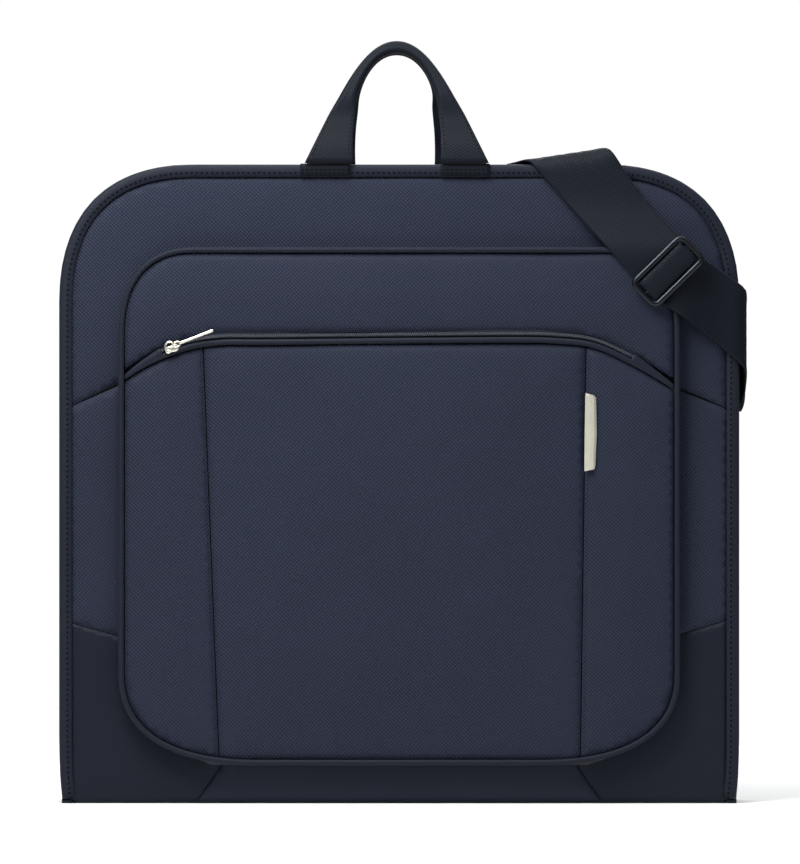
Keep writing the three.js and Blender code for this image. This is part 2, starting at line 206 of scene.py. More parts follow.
def math_node(nodes, links, operation, a, b=None):
    node = nodes.new("ShaderNodeMath")
    node.operation = operation
    for socket, value in zip(node.inputs, (a, b)):
        if value is None:
            continue
        if isinstance(value, (int, float)):
            socket.default_value = value
        else:
            links.new(value, socket)
    return node.outputs[0]


def stripes(nodes, links, coordinates, direction, period):
    """A sine wave across a direction, 0 to 1, with a period in metres."""
    dot = nodes.new("ShaderNodeVectorMath")
    dot.operation = "DOT_PRODUCT"
    links.new(coordinates, dot.inputs[0])
    dot.inputs[1].default_value = Vector(direction).normalized() * (2 * math.pi / period)
    wave = math_node(nodes, links, "SINE", dot.outputs["Value"])
    return math_node(nodes, links, "MULTIPLY_ADD", wave, 0.5)


def finish_fabric(nodes, links, bsdf, coordinates, height, color, spread, bump, roughness):
    """Colour from the weave and from slow variation, and bump from the weave."""
    slow = nodes.new("ShaderNodeTexNoise")
    slow.inputs["Scale"].default_value = BLOTCH_SCALE
    slow.inputs["Detail"].default_value = 4
    links.new(coordinates, slow.inputs["Vector"])
    mixed = math_node(nodes, links, "MULTIPLY", slow.outputs["Fac"], 0.14)
    total = math_node(nodes, links, "MULTIPLY_ADD", height, 0.5)
    total.node.inputs[2].default_value = 0.18
    both = math_node(nodes, links, "ADD", mixed, total)
    ramp = nodes.new("ShaderNodeValToRGB")
    ramp.color_ramp.elements[0].position = 0.1
    ramp.color_ramp.elements[1].position = 0.9
    ramp.color_ramp.elements[0].color = (*[c * (1 - spread) for c in color], 1)
    ramp.color_ramp.elements[1].color = (*[min(1, c * (1 + spread)) for c in color], 1)
    links.new(both, ramp.inputs["Fac"])
    links.new(ramp.outputs["Color"], bsdf.inputs["Base Color"])
    rough = math_node(nodes, links, "MULTIPLY_ADD", both, -0.15)
    rough.node.inputs[2].default_value = roughness + 0.07
    links.new(rough, bsdf.inputs["Roughness"])
    node = nodes.new("ShaderNodeBump")
    node.inputs["Strength"].default_value = bump
    node.inputs["Distance"].default_value = 0.0003
    links.new(height, node.inputs["Height"])
    links.new(node.outputs["Normal"], bsdf.inputs["Normal"])


def woven(name, color, roughness, period, directions, spread, bump, sheen, source="Object"):
    """Cloth whose yarns cross along two directions."""
    material, nodes, links, bsdf = shader(name, color, roughness, sheen=sheen, specular=0.12)
    coordinates = nodes.new("ShaderNodeTexCoord").outputs[source]
    first = stripes(nodes, links, coordinates, directions[0], period)
    second = stripes(nodes, links, coordinates, directions[1], period * 1.15)
    first.node.inputs[2].default_value = 0.5
    second.node.inputs[1].default_value = 0.3
    second.node.inputs[2].default_value = 0.7
    height = math_node(nodes, links, "MULTIPLY", first, second)
    finish_fabric(nodes, links, bsdf, coordinates, height, color, spread, bump, roughness)
    return material


def metal(name, color, roughness, metallic=1.0):
    material, nodes, links, bsdf = shader(name, color, roughness, metallic=metallic)
    coordinates = nodes.new("ShaderNodeTexCoord").outputs["Object"]
    grain = nodes.new("ShaderNodeTexNoise")
    grain.inputs["Scale"].default_value = GRAIN_SCALE
    links.new(coordinates, grain.inputs["Vector"])
    rough = math_node(nodes, links, "MULTIPLY_ADD", grain.outputs["Fac"], 0.2)
    rough.node.inputs[2].default_value = roughness - 0.1
    links.new(rough, bsdf.inputs["Roughness"])
    return material


DIAGONAL, COUNTER, UPRIGHT, LEVEL = (1, 0.6, 1), (-1, 0.6, 1), (0, 0, 1), (1, 0, 0)
TWILL, PLAIN, TAPE = (DIAGONAL, COUNTER), (LEVEL, UPRIGHT), (DIAGONAL, UPRIGHT)
WEBBING_YARNS = ((1, 2.2, 0), (-1, 2.2, 0))
LOOKS = {
    "twill": woven("navy_twill", (0.0185, 0.0235, 0.043), 0.62, 0.0020, TWILL, 0.6, 0.9, 0.03),
    "smooth_fabric": woven("navy_plain", (0.0088, 0.0115, 0.0200), 0.5, 0.0006, PLAIN, 0.15, 0.3, 0.03),
    # The bottom panel's look is the smooth fabric made lighter: painted light that offsets the shade the
    # pocket casts on it.
    "smooth_fabric_painted_light": woven("navy_plain_painted_light", (0.0150, 0.0190, 0.0320), 0.5, 0.0006, PLAIN, 0.15, 0.3, 0.03),
    "trim": woven("binding_tape", (0.0110, 0.0138, 0.0232), 0.5, 0.0009, TAPE, 0.25, 0.5, 0.03),
    "webbing": woven("webbing", (0.0040, 0.0060, 0.0110), 0.6, 0.0021, WEBBING_YARNS, 0.25, 0.4, 0.03, "UV"),
    "lining": woven("lining_cloth", (0.045, 0.048, 0.062), 0.42, 0.0011, TWILL, 0.15, 0.3, 0.1),
    "zip": woven("zip_tape", (0.006, 0.0075, 0.013), 0.6, 0.0008, PLAIN, 0.3, 0.5, 0.02),
    # The stiffener board is near-black, partly its own colour and partly painted shade: where it shows
    # through the seam gaps it reads as the dark shade of the seams.
    "board": woven("stiffener_painted_seam_shade", (0.02, 0.02, 0.022), 0.8, 0.003, PLAIN, 0.1, 0.3, 0.0),
    "coil": metal("coil_nylon", (0.06, 0.066, 0.086), 0.45, metallic=0.0),
    "silver": metal("satin_silver", (0.86, 0.83, 0.72), 0.3),
    "label": metal("blank_plate", (0.74, 0.72, 0.60), 0.34, metallic=0.6),
    "gunmetal": metal("gunmetal", (0.030, 0.034, 0.040), 0.36),
    # Thread, near-black: partly the thread's own dark colour and partly painted shade of the dimples the
    # stitches sit in.
    "thread": woven("thread_painted_dimple_shade", (0.0014, 0.0018, 0.0032), 0.7, 0.0005, PLAIN, 0.2, 0.3, 0.0),
}


# ---- meshes ----
def piece(name, vertices, faces, look, body, replaces=(), uv=None, smooth=True):
    """A mesh object from millimetres, with its material, its body and the CAD nodes it stands for."""
    mesh = bpy.data.meshes.new(name)
    points = [tuple(MM * float(c) for c in v) for v in vertices]
    mesh.from_pydata(points, [], [tuple(map(int, f)) for f in faces])
    mesh.validate()
    if uv is not None:
        layer = mesh.uv_layers.new(name="UVMap")
        for loop in mesh.loops:
            layer.data[loop.index].uv = uv[loop.vertex_index]
    mesh.materials.append(LOOKS[look])
    mesh.shade_smooth() if smooth else mesh.shade_flat()
    thing = bpy.data.objects.new(name, mesh)
    bpy.context.scene.collection.objects.link(thing)
    if body:
        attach(thing, body)
    if replaces:
        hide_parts(*replaces)
    return thing


def panel(name, outline, lift, look, body, replaces, side=-1, step=6.0, thickness=1.4):
    """A sewn panel: a dense sheet over an outline in X and Z, lifted from the mid-plane, with a thickness."""
    rim = resample(outline, step * 0.7, closed=True)
    low, high = rim.min(0), rim.max(0)
    rows = np.arange(low[1], high[1], step * 0.87)
    columns = np.arange(low[0], high[0], step)
    grid = np.array([(x + (step / 2 if k % 2 else 0), z) for k, z in enumerate(rows) for x in columns])
    grid = grid[inside(grid, rim)]
    grid = grid[edge_distance(grid, rim) > step * 0.45]
    flat = np.vstack([rim, grid])
    loop = list(range(len(rim)))
    result = delaunay_2d_cdt([Vector(p) for p in flat], [], [loop], 1, 1e-5)
    flat = np.array([tuple(p) for p in result[0]])
    triangles = [tuple(f) for f in result[2]]
    depth = edge_distance(flat, rim)
    out = np.array([lift(x, z, d) for (x, z), d in zip(flat, depth)])
    count = len(flat)
    front = [(x, side * y, z) for (x, z), y in zip(flat, out)]
    back = [(x, side * (y - thickness), z) for (x, z), y in zip(flat, out)]
    edges = {}
    for f in triangles:
        for a, b in zip(f, f[1:] + f[:1]):
            edges[(a, b)] = True
    border = [(a, b) for a, b in edges if (b, a) not in edges]
    flip = side > 0
    faces = [f[::-1] if flip else f for f in triangles]
    faces += [tuple(count + i for i in (f if flip else f[::-1])) for f in triangles]
    for a, b in border:
        quad = (a, a + count, b + count, b)
        faces.append(quad[::-1] if flip else quad)
    return piece(name, front + back, faces, look, body, replaces)


def frames(points, closed=False):
    """The direction along a line at each of its points."""
    p = np.array(points, float)
    ahead = np.roll(p, -1, axis=0)
    behind = np.roll(p, 1, axis=0)
    if not closed:
        ahead[-1], behind[0] = p[-1], p[0]
    way = ahead - behind
    return way / np.linalg.norm(way, axis=1)[:, None]


def skin(rings, closed_path):
    """Faces joining equal closed rings of points, one ring after the other."""
    count, size = len(rings), len(rings[0])
    faces = []
    for i in range(count if closed_path else count - 1):
        j = (i + 1) % count
        for k in range(size):
            m = (k + 1) % size
            faces.append((i * size + k, i * size + m, j * size + m, j * size + k))
    if not closed_path:
        faces += [tuple(range(size))[::-1], tuple((count - 1) * size + k for k in range(size))]
    return [tuple(v) for ring in rings for v in ring], faces


def edge_strip(name, outline, section, look, body, replaces=(), side=-1, closed=False):
    """A closed section carried round an outline. Its points are (inset, distance from the mid-plane)."""
    way = frames(outline, closed)
    inward = np.column_stack([way[:, 1], -way[:, 0]])
    rings = []
    for p, n in zip(outline, inward):
        rings.append([(p[0] + n[0] * a, side * y, p[1] + n[1] * a) for a, y in section])
    if side < 0:
        rings = [ring[::-1] for ring in rings]
    vertices, faces = skin(rings, closed)
    return piece(name, vertices, faces, look, body, replaces)


def tube(name, points, radius, look, body, replaces=(), sides=10, closed=False, flatten=1.0):
    """A round bar or cord along a line in space, squeezed across by flatten.

    radius is one number, or one for each point.
    """
    p = np.array(points, float)
    way = frames(p, closed)
    rings = []
    for point, t, radius in zip(p, way, np.broadcast_to(radius, len(p))):
        a = np.cross(t, (0, 1, 0))
        a = a / np.linalg.norm(a) if np.linalg.norm(a) > 1e-3 else np.array((1.0, 0, 0))
        b = np.cross(t, a)
        angles = np.linspace(0, 2 * math.pi, sides, endpoint=False)
        ring = [point + radius * (math.cos(s) * a + math.sin(s) * b * flatten) for s in angles]
        rings.append(ring)
    vertices, faces = skin(rings, closed)
    return piece(name, vertices, faces, look, body, replaces)


def stitches(name, points, body, pitch=3.6, width=0.9, height=0.45, outward=(0, -1, 0)):
    """A row of sewn stitches along a line: a small lens of thread every pitch."""
    line = resample(points, pitch)
    way = frames(line)
    vertices, faces = [], []
    up = np.array(outward, float)
    for p, t in zip(line, way):
        across = np.cross(t, up)
        base = len(vertices)
        ends = [p - t * STITCH_LENGTH / 2, p + t * STITCH_LENGTH / 2]
        mids = [p + across * width / 2, p + up * height, p - across * width / 2, p - up * height / 2]
        vertices += [tuple(v) for v in ends + mids]
        for k in range(4):
            m = (k + 1) % 4
            faces.append((base, base + 2 + m, base + 2 + k))
            faces.append((base + 1, base + 2 + k, base + 2 + m))
    # The stitches take the near-black thread look, which is partly painted shade of their dimples.
    return piece(name, vertices, faces, "thread", body)


def ribbon(name, middle, across, normal, look, body, replaces=(), width=STRAP_WIDTH):
    """Webbing: a flat band along points in space, with rolled selvedges and a weave laid along it."""
    half = width / 2
    profile = [(-half, 0.0), (-half + 0.5, 0.8), (-half + 2.0, 1.0), (-half * 0.5, 0.85), (0, 0.85),
               (half * 0.5, 0.85), (half - 2.0, 1.0), (half - 0.5, 0.8), (half, 0.0)]
    under = [(a, -b) for a, b in profile[1:-1]][::-1]
    section = profile + under
    rings, uv = [], []
    for p, side, up, s in zip(middle, across, normal, arc_length(middle)):
        rings.append([p + side * a + up * b * STRAP_THICKNESS / 2 for a, b in section])
        uv += [(a * MM, s * MM) for a, b in section]
    vertices, faces = skin(rings, False)
    return piece(name, vertices, faces, look, body, replaces, uv=uv)


# ---- the two shells ----
def shell(label, side, body):
    """Binding, gusset, inner binding, linings, main zip and stiffener of one half."""
    outline = resample(half_outline(0.8), 6)
    front_roll = [(10.4, 30.5), (10.2, 31.0), (6, 31.6), (2, 31.3), (0.4, 30.2), (0, 28.4), (0.5, 26.4),
                  (2.5, 25.4), (9, 25.1), (9.2, 26.2), (3, 27.0), (2.2, 28.2), (3, 29.4), (10, 29.6)]
    edge_strip(f"{label}_edge_binding", outline, front_roll, "trim", body, [f"{label}_binding"], side)
    path = [(x, side * BINDING_FACE, z) for x, z in half_outline(7.6)]
    stitches(f"{label}_binding_stitches", path, body, pitch=4.2, width=1.9, height=0.7, outward=(0, side, 0))
    wall = resample(half_outline(8.0), 7)
    puff = [(0, 24.9), (-0.9, 21), (-1.3, 18), (-0.9, 14), (0, 11.2), (1.6, 11.2), (0.6, 18), (1.6, 24.9)]
    edge_strip(f"{label}_side_gusset", wall, puff, "twill", body, [f"{label}_gusset"], side)
    inner = resample(half_outline(4.2), 6)
    roll = [(6.6, 6.0), (2.5, 6.1), (0.6, 6.9), (0, 8.5), (0.7, 10.2), (2.6, 10.9), (6.4, 10.8), (6.4, 9.6),
            (3, 9.3), (2.4, 8.5), (3, 7.6), (6.6, 7.2)]
    edge_strip(f"{label}_lining_binding", inner, roll, "trim", body, [f"{label}_inner_binding"], side)
    path = [(x, side * 5.95, z) for x, z in half_outline(9.5)]
    stitches(f"{label}_lining_stitches", path, body, outward=(0, -side, 0), height=0.3)
    arch = half_outline(11.0)
    cut = 12.3

    def soft(x, z, d):
        pillow = 2.6 * (1 - math.exp(-d / 90))
        return 7.4 - pillow - 0.25 * ripple(x, z, 60, side) + 0.35 * math.exp(-d / 5)

    left = np.vstack([[p for p in arch if p[0] < MAIN_ZIP_X - cut - 1],
                      [(MAIN_ZIP_X - cut, arch_top(MAIN_ZIP_X - cut, 11.0)), (MAIN_ZIP_X - cut, FOOT)]])
    right = np.vstack([[(MAIN_ZIP_X + cut, FOOT), (MAIN_ZIP_X + cut, arch_top(MAIN_ZIP_X + cut, 11.0))],
                       [p for p in arch if p[0] > MAIN_ZIP_X + cut + 1]])
    inner_side = -side
    for part_name, outline, node in (("wide", left, "lining_wide"), ("narrow", right, "lining_narrow")):
        panel(f"{label}_inner_{part_name}", outline, lambda x, z, d: -soft(x, z, d), "lining", body,
              [f"{label}_{node}"], inner_side, step=9.0, thickness=0.9)
    line = [(MAIN_ZIP_X, side * 6.4, z) for z in (8, 160, 320, 478)]
    zipper(f"{label}_full_zip", line, (0, -side, 0), body, [f"{label}_main_zip"], tape_half=12.2)
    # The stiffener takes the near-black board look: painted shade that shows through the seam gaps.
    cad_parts[f"{label}_stiffener"].data.materials[0] = LOOKS["board"]


def arch_top(x, inset):
    """The height of a half's silhouette at x, inset from its edge."""
    p = half_outline(inset)[1:-1]
    return float(np.interp(x, p[:, 0], p[:, 1]))


def zipper(name, line, outward, body, replaces, tape_half, tooth=1.75):
    """A coil zip along a line: two tapes and two rows of slanted coil turns that mesh in the middle."""
    p = resample(line, 6.0)
    way = frames(p)
    up = np.array(outward, float)
    across = np.cross(way, up)
    rings = [[q + a * s + up * h for s, h in ((-tape_half, -0.25), (-tape_half, 0.25), (tape_half, 0.25),
                                              (tape_half, -0.25))] for q, a in zip(p, across)]
    vertices, faces = skin(rings, False)
    piece(f"{name}_tape", vertices, faces, "zip", body, replaces)
    q = resample(line, COIL_PITCH)
    way = frames(q)
    across = np.cross(way, up)
    vertices, faces = [], []
    for c, t, a in zip(q, way, across):
        for sign in (-1, 1):
            shift = t * COIL_PITCH * (0.25 if sign > 0 else -0.25)
            start = c + a * sign * tooth + shift + up * 0.3
            end = c - a * sign * 0.35 + shift - t * 0.5 + up * 0.3
            base = len(vertices)
            for point in (start, (start + end) / 2 + up * 0.5, end):
                vertices += [point + up * 0.42, point + t * 0.5, point - up * 0.3, point - t * 0.5]
            for low in (base, base + 4):
                for k in range(4):
                    m = (k + 1) % 4
                    faces.append((low + k, low + m, low + 4 + m, low + 4 + k))
            faces += [(base + 3, base + 2, base + 1, base), (base + 8, base + 9, base + 10, base + 11)]
    piece(f"{name}_coil", vertices, faces, "coil", body)


# ---- front panels round the pocket ----
def front_panels():
    arch = half_outline(BINDING + 0.2, low=0.0)
    edge = HALF_WIDTH - BINDING - 0.2
    inner = POCKET["half"] - 4.0

    def border(x, z, d):
        rise = 1.6 * (1 - math.exp(-d / 7))
        return PANEL_OUT - 0.8 + rise + 0.5 * ripple(x, z, 45, 2.0)

    top_left, top_right = (-edge, 321.5), (edge, 319.5)
    upper = [top_left] + [tuple(p) for p in arch if p[1] > 330] + [top_right, (229.5, 335.2), (inner, 338.7),
                                                                 (-inner, 342.5), (-229, 339.3)]
    panel("upper_front_panel", upper, border, "twill", "front_half", ["front_upper_panel"])
    seams = {"left": (339.0, 321.0, 134.8, 146.2), "right": (334.6, 318.9, 136.2, 148.2)}
    for side, label in ((-1, "left"), (1, "right")):
        a, b, c, d = seams[label]
        shape = [(side * inner, a + 3.2), (side * (inner + 4), a), (side * edge, b), (side * edge, d),
                 (side * (inner + 4), c), (side * inner, c - 1)]
        panel(f"side_front_panel_{label}", shape[::side], border, "twill", "front_half",
              [f"front_side_panel_{label}"])
        low = [(side * edge, d - 0.5), (side * edge, 2.2), (side * 163.2, 2.2), (side * 144.6, 30.3),
               (side * 144.2, 36), (side * 190, 50), (side * inner, 95), (side * inner, c - 1.5),
               (side * (inner + 4), c - 0.5)]
        panel(f"corner_front_panel_{label}", low[::-side], border, "smooth_fabric", "front_half",
              [f"front_corner_panel_{label}"], step=4.0)
    bottom = [(-162.6, 2.2), (-144.0, 30.3), (-143.6, 36), (143.6, 36), (144.0, 30.3), (162.6, 2.2)]
    # This panel wears the lightened copy of the smooth fabric: painted light against the pocket's shade.
    panel("bottom_front_panel", bottom, border, "smooth_fabric_painted_light", "front_half", ["front_bottom_panel"], step=4.0)
    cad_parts["pocket_back_lining"].data.materials[0] = LOOKS["lining"]


# ---- pocket ----
def pocket():
    ring = resample(pocket_outline(), 5, closed=True)
    cord = [(x, -42.9, z) for x, z in ring]
    tube("pocket_edge_piping", cord, PIPING, "trim", "front_half", ["pocket_piping"], sides=12, closed=True)
    wall = [(1.2, 30.0), (0.2, 33), (-0.2, 36), (0.4, 41.2), (2.2, 41.2), (1.8, 36), (2.6, 30.0)]
    edge_strip("pocket_side_wall", ring, wall, "twill", "front_half", ["pocket_gusset"], closed=True)

    def face(x, z, d):
        crown = 3.4 * (1 - math.exp(-d / 42))
        rise = 1.1 * (1 - math.exp(-d / 4))
        return POCKET_OUT - 1.2 + rise + crown + 0.7 * ripple(x, z, 70, 5.0) + 0.2 * ripple(x, z, 22, 9.0)

    inner = pocket_outline(PIPING + 0.5)
    upper = [tuple(p) for p in inner if p[1] > zip_height(p[0]) + 7.4]
    lower_edge = [(x, zip_height(x) + 7.2) for x in np.linspace(-221.4, 221.4, 60)]
    panel("pocket_upper_face", upper + lower_edge[::-1], face, "twill", "front_half", ["pocket_upper_panel"])

    def seam(x_low, x_high):
        return lambda z: x_low + (x_high - x_low) * (z - 38) / 331

    left, right = seam(-145.5, -158.2), seam(146.3, 150.9)
    under = [(x, zip_height(x) - 2.7) for x in np.linspace(-221.4, 221.4, 90)]
    below = [tuple(p) for p in inner if p[1] < zip_height(p[0]) - 2.7]
    ends = [p for p in below if p[0] < left(p[1]) - 0.5]
    wing = ends + [p for p in under if p[0] < left(p[1]) - 0.5]
    low = POCKET["low"] + PIPING + 0.5
    wing += [(left(371) - 0.4, 369.2), (left(low) - 0.4, low)]
    panel("pocket_left_face", wing, face, "twill", "front_half", ["pocket_left_panel"])
    middle = [p for p in under if left(p[1]) + 0.8 < p[0] < right(p[1]) - 0.8]
    panel("pocket_centre_face", [(left(low) + 0.4, low), (left(370) + 0.4, 369.4)] + middle
          + [(right(370) - 0.4, 368.6), (right(low) - 0.4, low)], face, "twill", "front_half",
          ["pocket_centre_panel"])
    ends = [p for p in below if p[0] > right(p[1]) + 0.5]
    wing = [p for p in under if p[0] > right(p[1]) + 0.8] + ends
    panel("pocket_right_face", [(right(low) + 0.4, low), (right(368) + 0.4, 368.0)] + wing, face, "twill",
          "front_half", ["pocket_right_panel"])
    for x_of, label in ((left, "left"), (right, "right")):
        offset = -2.6 if label == "left" else 2.6
        line = [(x_of(z) + offset, -POCKET_OUT - 0.9, z) for z in np.linspace(low + 3, 362, 40)]
        stitches(f"pocket_seam_stitches_{label}", line, "front_half", height=0.25, width=0.4)


def pocket_zip():
    xs = np.linspace(-221.5, 221.5, 120)
    welt = [(x, -43.6, zip_height(x)) for x in xs]
    slim = PIPING * (1 - 0.45 * np.clip((np.abs(xs) - 185) / 36, 0, 1))
    tube("pocket_zip_lip", welt, slim, "trim", "front_half", ["pocket_zip_welt"], sides=12, flatten=0.8)
    coil = [(x, -42.2, zip_height(x) + 4.9) for x in np.linspace(-196, 196, 90)]
    zipper("pocket_zip_run", coil, (0, -1, 0), "front_half", ["pocket_zip_tape", "pocket_zip_coil"],
           tape_half=3.4, tooth=1.4)
    for side, label, start in ((-1, "left", 191.6), (1, "right", 188.0)):
        share = np.linspace(0, 1, 18)
        line = [(side * x, -43.9, zip_height(side * x) + 3.6 - 2.6 * f)
                for x, f in zip(np.linspace(start, 221, 18), share)]
        tube(f"pocket_zip_end_{label}", line, 3.9 - 2.5 * share, "trim", "front_half", sides=12, flatten=0.5)


def label_plate():
    """A blank bright plate sewn beside the right seam, with a lengthwise ridge."""
    rows = [(268.7, 149.4, 149.6), (270.2, 149.4, 157.4), (273.4, 149.4, 158.4), (300.0, 149.7, 159.4),
            (327.6, 150.1, 158.9), (330.0, 150.2, 157.4), (331.8, 150.3, 150.5)]
    vertices, faces = [], []
    for z, x0, x1 in rows:
        for share, lift in ((0, 0), (0.2, 1.2), (0.5, 1.6), (0.8, 1.5), (1, 0)):
            vertices.append((x0 + (x1 - x0) * share, -45.4 - lift, z))
        vertices.append((x0 + (x1 - x0) * 0.5, -44.6, z))
    size = 6
    for i in range(len(rows) - 1):
        for k in range(size):
            m = (k + 1) % size
            faces.append((i * size + k, i * size + m, (i + 1) * size + m, (i + 1) * size + k))
    faces += [tuple(range(size))[::-1], tuple((len(rows) - 1) * size + k for k in range(size))]
    piece("blank_label", vertices, faces, "label", "front_half", ["label_plate"], smooth=False)


# ---- sliders and pullers ----
def slider(name, centre, turn, size, look, body, replaces, crown=None):
    """A zip slider: a waisted shell with a raised crown, turned in the plane of the zip."""
    length, width, height = size
    outline = []
    for s in np.linspace(0, 2 * math.pi, 28, endpoint=False):
        along, side = math.cos(s), math.sin(s)
        waist = 1 - 0.28 * math.exp(-((along + 0.15) / 0.35) ** 2)
        outline.append((along * length / 2, math.copysign(abs(side) ** 0.6, side) * width / 2 * waist))
    levels = ((0.0, 1.0), (0.55, 1.0), (0.85, 0.9), (1.0, 0.7))
    rings = []
    c, s = math.cos(turn), math.sin(turn)
    for h, shrink in levels:
        rings.append([(centre[0] + (a * c - b * s) * shrink, centre[1] - h * height,
                       centre[2] + (a * s + b * c) * shrink) for a, b in outline])
    vertices, faces = skin(rings, False)
    piece(name, vertices, faces, look, body, replaces)
    if crown is None:
        return
    way = [math.radians(a) for a in range(40, 300, 13)]
    line = [(centre[0] + crown[0] + crown[2] * math.cos(a), centre[1] - (height + 0.75),
             centre[2] + crown[1] + crown[2] * math.sin(a)) for a in way]
    tube(f"{name}_crown", line, 0.85, look, body, sides=8)


def puller(name, pivot, turn, length, look, body, replaces):
    """A slim bar whose round eye starts just beyond the pivot on the slider's crown."""
    c, s = math.cos(turn), math.sin(turn)

    def place(a, b, y):
        return pivot[0] + a * c - b * s, pivot[1] + y, pivot[2] + a * s + b * c

    eye_start, eye_long, eye_wide, wire = 4.4, 3.0, 2.1, 0.65
    angles = np.linspace(0, 2 * math.pi, 25)[:-1]
    ring = [place(eye_start + eye_long * math.cos(t), eye_wide * math.sin(t), 0) for t in angles]
    tube(f"{name}_ring", ring, wire, look, body, sides=8, closed=True, flatten=0.75)
    bar = [(6.6, 0.8), (8.6, 1.3), (13, 1.1), (22, 1.05), (30, 1.2), (34.2, 1.35), (35.6, 1.0), (36.0, 0.35)]
    rings = []
    for a, half in bar:
        section = [(half, 0), (half * 0.7, -0.6), (0, -0.75), (-half * 0.7, -0.6), (-half, 0),
                   (-half * 0.7, 0.5), (half * 0.7, 0.5)]
        rings.append([place(a * length / 36, b, y) for b, y in section])
    vertices, faces = skin(rings, False)
    piece(name, vertices, faces, look, body, replaces)


def zips_hardware():
    """The sliders and pullers of the pocket's zip and of the full-length zip."""
    x, z = POCKET_SLIDER
    slider("pocket_slider_shell", (x, -45.4, z), PULLER_TILT, (11.6, 7.4, 2.4), "silver", "pocket_slider",
           ["pocket_zip_slider"], (-1.6, 1.9, 3.7))
    puller("pocket_pull_bar", (x, -50.55, z + 2), PULLER_TILT, 36, "silver", "pocket_puller",
           ["pocket_zip_puller"])
    slider("main_slider_shell", (MAIN_ZIP_X, 5.4, 462), math.radians(90), (15, 10, 2.2), "gunmetal",
           "main_slider", ["main_zip_slider"])
    puller("main_pull_bar", (MAIN_ZIP_X, 2.1, 458), math.radians(-90), 33, "gunmetal", "main_puller",
           ["main_zip_puller"])


# ---- carry handles ----
HANDLE_MIDDLE = -2.0
HANDLE_FOOT = 517.9


def handle_edge(foot, leg, shoulder, crown):
    """One edge of a handle's webbing: up a leg, over the crown and down, from four driving sizes."""
    left = bezier((-foot, HANDLE_FOOT), leg, (-shoulder, crown), (0, crown), 42)
    return np.vstack([left, (left * (-1, 1))[-2::-1]]) + (HANDLE_MIDDLE, 0)


def lean(x, z, side):
    """A point of the handle's outline, put in its leaning plane."""
    bulge = 0.9 * math.exp(-(((z - 531) / 8) ** 2))
    out = HANDLE_PIVOT[0] - max(0.0, z - HANDLE_PIVOT[1]) * math.tan(HANDLE_LEAN) + bulge
    return np.array((x, side * out, z))


def handle(label, side):
    body = f"{label}_handle"
    outer = handle_edge(74.5, (-48, 572), 28, 618)
    inner = handle_edge(35.5, (-38, 575), 22, 607)
    if side > 0:
        low = 1 / (1 + np.exp((inner[:, 1] - 572) / 5))
        inner[:, 0] += low * np.where(inner[:, 0] < 0, 1.8, -4.6)
    normal = np.array((0, side * math.cos(HANDLE_LEAN), math.sin(HANDLE_LEAN)))
    rings, uv, run, last = [], [], 0.0, None
    angles = np.linspace(0, 2 * math.pi, 28, endpoint=False)
    for (xo, zo), (xi, zi) in zip(outer, inner):
        a, b = lean(xo, zo, side), lean(xi, zi, side)
        middle, half = (a + b) / 2, (a - b) / 2
        width = np.linalg.norm(half)
        folded = min(1.0, max(0.0, (11.0 - width) / 3.6))
        folded = folded * folded * (3 - 2 * folded)
        half = half * (1 - 0.08 * folded)
        thick = 1.1 + 3.9 * folded
        power = 0.28 + 0.62 * folded
        if last is not None:
            run += np.linalg.norm(middle - last)
        last = middle
        ring = []
        for s in angles:
            c, d = math.cos(s), math.sin(s)
            across = math.copysign(abs(c) ** power, c)
            up = math.copysign(abs(d) ** (0.5 + 0.5 * folded), d)
            crease = 0.9 * folded * math.exp(-((c - 0.1) / 0.16) ** 2) * (1 if d > 0 else 0.2)
            ring.append(middle + half * across + normal * (up * thick - crease))
            uv.append((across * 20 * MM, run * MM))
        rings.append(ring)
    if side > 0:
        rings = [ring[::-1] for ring in rings]
    vertices, faces = skin(rings, False)
    piece(f"{label}_handle_webbing", vertices, faces, "webbing", body, [f"{label}_handle"], uv=uv)
    for name, low, high in (("left", 2, 20), ("right", 64, 82)):
        for row, t in (("outer", 0.09), ("inner", 0.91)):
            between = outer * (1 - t) + inner * t
            line = [lean(*between[i], side) + normal * 1.15 for i in range(low, high)]
            stitches(f"{label}_handle_stitches_{name}_{row}", line, body, outward=tuple(normal), height=0.3)
    for name, low, high in (("left", -80.0, -39.5), ("right", 33.5, 73.5)):
        node = f"{label}_handle_foot_{name}"
        foot(f"{label}_handle_patch_{name}", low, high, side, f"{label}_half", [node])


def foot(name, low, high, side, body, replaces):
    """The stitched end of a handle: a turned-under patch with two rows of stitches."""
    bottom, top = PATCH
    outline = [(low, bottom), (high, bottom), (high, top), (low, top)]

    def flush(_, z, d):
        return 33.8 - 1.0 * math.exp(-min(d, z - bottom) / 1.2)

    panel(name, outline[::-1], flush, "webbing", body, replaces, side, step=2.0, thickness=1.8)
    y = side * 34.0
    for row, z in enumerate((509.8, 512.6)):
        stitches(f"{name}_stitches_{row}", [(low + 2, y, z), (high - 2, y, z)], body, outward=(0, side, 0))


